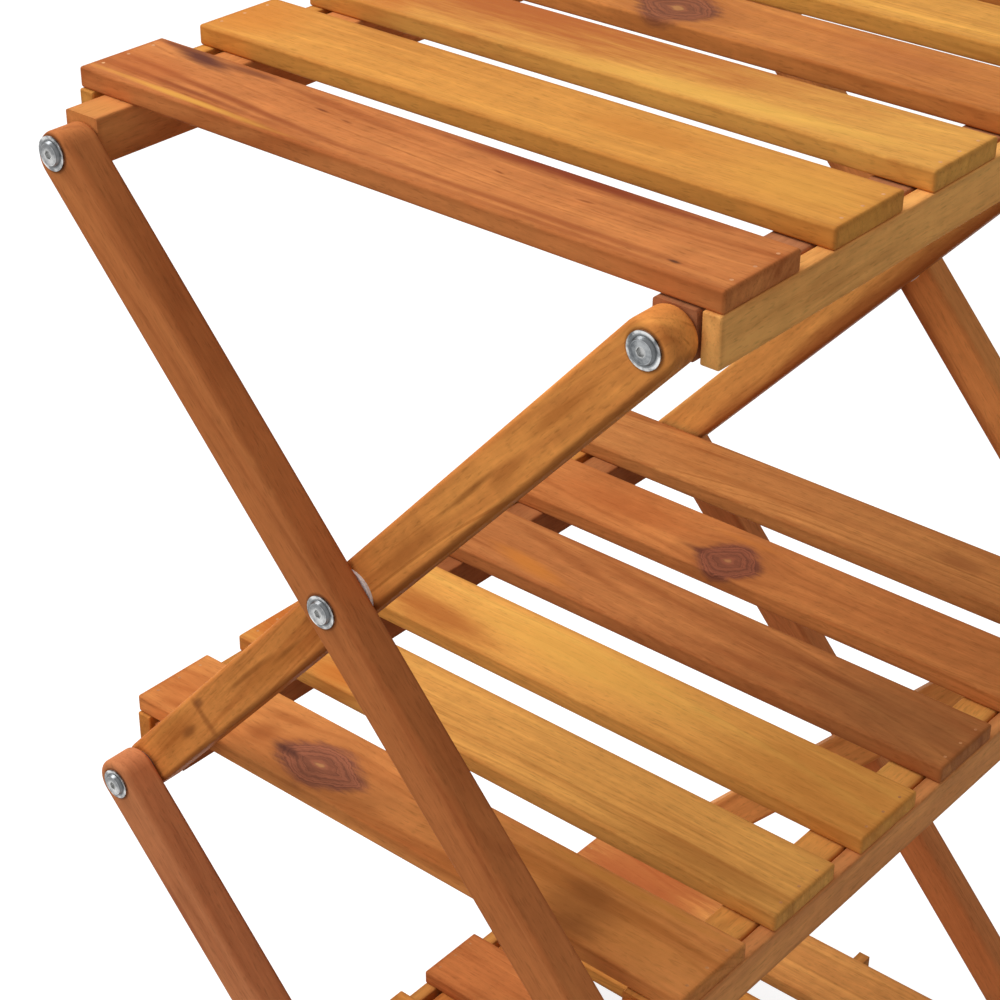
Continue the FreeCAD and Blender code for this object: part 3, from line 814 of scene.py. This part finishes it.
def washer_finish(name, oil_and_shade_factor):
    """Punched sheet with a fine even tooth."""
    material, tree, shader, mapping = steel_start(name)
    tooth = cloud(tree, mapping.outputs[0], (700, 700, 700), 3.0, 0.6)["Fac"]
    tooth_share = soft_step(tree, tooth, 0.3, 0.7)
    colour = blend(tree, tooth_share, scaled(matt_zinc, oil_and_shade_factor), scaled(pale_zinc, oil_and_shade_factor))
    plug(tree, shader.inputs["Base Color"], colour)
    shader.inputs["Metallic"].default_value = 0.15
    plug(tree, shader.inputs["Roughness"], calc(tree, "MULTIPLY_ADD", tooth, 0.2, 0.3))
    add_bump(tree, shader, tooth, 0.1, plate_depth)
    return material


def brad_finish(name, oil_and_shade_factor):
    """Brad heads under the oil: brassy, close to the wood's own colour."""
    material, tree, shader, mapping = steel_start(name)
    stain = cloud(tree, mapping.outputs[0], (400, 400, 400), 2.0)["Fac"]
    stain_share = soft_step(tree, stain, 0.3, 0.7)
    colour = blend(tree, stain_share, scaled(dull_brass, oil_and_shade_factor), scaled(pale_brass, oil_and_shade_factor))
    plug(tree, shader.inputs["Base Color"], colour)
    shader.inputs["Metallic"].default_value = 0.2
    plug(tree, shader.inputs["Roughness"], calc(tree, "MULTIPLY_ADD", stain, 0.2, 0.4))
    add_bump(tree, shader, stain, 0.1, plate_depth)
    return material


print("washer and brad finishes ready")

# %% Dress the fasteners
def named(start):
    """The frame's pieces whose names begin so, in order."""
    return sorted(node_name for node_name in nodes if node_name.startswith(start))


as_made = (1.0, 1.0, 1.0)
# shaded is a darker copy of the bolt finish, used for one bolt: painted shade.
shaded = (0.60, 0.62, 0.64)
oiled_brown = (0.22, 0.13, 0.09)
oiled_brass = (0.82, 0.74, 0.60)
oil_and_shade_factors = {
    "bolts_top_right": shaded,
    "washers_mid_left": oiled_brown, "washers_mid_right": oiled_brown,
    "brads_mid": oiled_brass, "brads_low": oiled_brass,
}
for node_name in named("bolts_"):
    oil_and_shade_factor = oil_and_shade_factors.get(node_name, as_made)
    dress(node_name, bolt_finish(node_name, bolt_axis(node_name), oil_and_shade_factor))
for node_name in named("washers_"):
    dress(node_name, washer_finish(node_name, oil_and_shade_factors.get(node_name, as_made)))
for node_name in named("brads_"):
    dress(node_name, brad_finish(node_name, oil_and_shade_factors.get(node_name, as_made)))
print("fasteners dressed:", len(named(("bolts_", "washers_", "brads_"))))

# %% [markdown]
# ## The studio
# A wide soft lamp at the left, a weak one in front, a dim even sky and a pale floor give the
# photograph's light: upper faces brightest, front faces duller and right faces dullest.
# The floor and the sky turn white only for the camera and in mirrors such as the bolts.
# For the light that falls on the wood they stay grey.

# %% The floor
def camera_share(tree):
    """1 for rays that the camera, a mirror or glass sends out, 0 for rays that light a surface."""
    path = tree.nodes.new("ShaderNodeLightPath").outputs
    share = calc(tree, "MAXIMUM", path["Is Camera Ray"], path["Is Glossy Ray"])
    return calc(tree, "MAXIMUM", share, path["Is Transmission Ray"])


floor_half = 9.0
steps = 13
floor_grey = (0.40, 0.40, 0.40, 1.0)
floor_white = (1.0, 1.0, 1.0, 1.0)
floor_glow = 0.82
line = np.linspace(-floor_half, floor_half, steps)
floor_x, floor_y = np.meshgrid(line, line)
corners = np.stack([floor_x, floor_y, np.zeros_like(floor_x)], -1).reshape(-1, 3)
index = np.arange(steps * steps).reshape(steps, steps)
faces = np.stack([index[:-1, :-1], index[:-1, 1:], index[1:, 1:], index[1:, :-1]], -1).reshape(-1, 4)
floor_mesh = bpy.data.meshes.new("studio_floor")
floor_mesh.from_pydata(corners.tolist(), [], faces.tolist())
floor = bpy.data.objects.new("studio_floor", floor_mesh)
scene.collection.objects.link(floor)
floor_material, floor_tree, floor_shader = new_material("studio_floor")
floor_shader.inputs["Base Color"].default_value = floor_grey
floor_shader.inputs["Roughness"].default_value = 1.0
floor_shader.inputs["Specular IOR Level"].default_value = 0.0
floor_shader.inputs["Emission Color"].default_value = floor_white
plug(floor_tree, floor_shader.inputs["Emission Strength"],
     calc(floor_tree, "MULTIPLY", camera_share(floor_tree), floor_glow))
floor_mesh.materials.append(floor_material)
print("floor faces:", len(faces))

# %% The sky
sky = bpy.data.worlds.new("studio_sky")
scene.world = sky
sky.use_nodes = True
sky_tree = sky.node_tree
sky_shader = sky_tree.nodes["Background"]
sky_shader.inputs["Color"].default_value = (1.0, 1.0, 1.0, 1.0)
sky_level = 0.42
plug(sky_tree, sky_shader.inputs["Strength"],
     calc(sky_tree, "MULTIPLY_ADD", camera_share(sky_tree), 1.0 - sky_level, sky_level))
print("sky level on the wood:", sky_level)

# %% The lamps
lamp_aim = Vector((0.0, 0.0, 0.5))


def soft_lamp(name, direction, distance, size, energy):
    """A square soft box that looks at the middle of the shelf from one direction."""
    data = bpy.data.lights.new(name, "AREA")
    data.shape = "SQUARE"
    data.size = size
    data.energy = energy
    lamp = bpy.data.objects.new(name, data)
    away = Vector(direction).normalized()
    lamp.location = lamp_aim + away * distance
    lamp.rotation_euler = (-away).to_track_quat("-Z", "Y").to_euler()
    scene.collection.objects.link(lamp)
    return lamp


side_lamp = soft_lamp("side_soft_box", (-0.64, -0.22, 0.72), distance=2.6, size=1.5, energy=54.0)
front_lamp = soft_lamp("front_soft_box", (0.10, -0.96, 0.28), distance=3.0, size=2.0, energy=14.0)
print("lamps at:", [[round(v, 2) for v in lamp.location] for lamp in (side_lamp, front_lamp)])
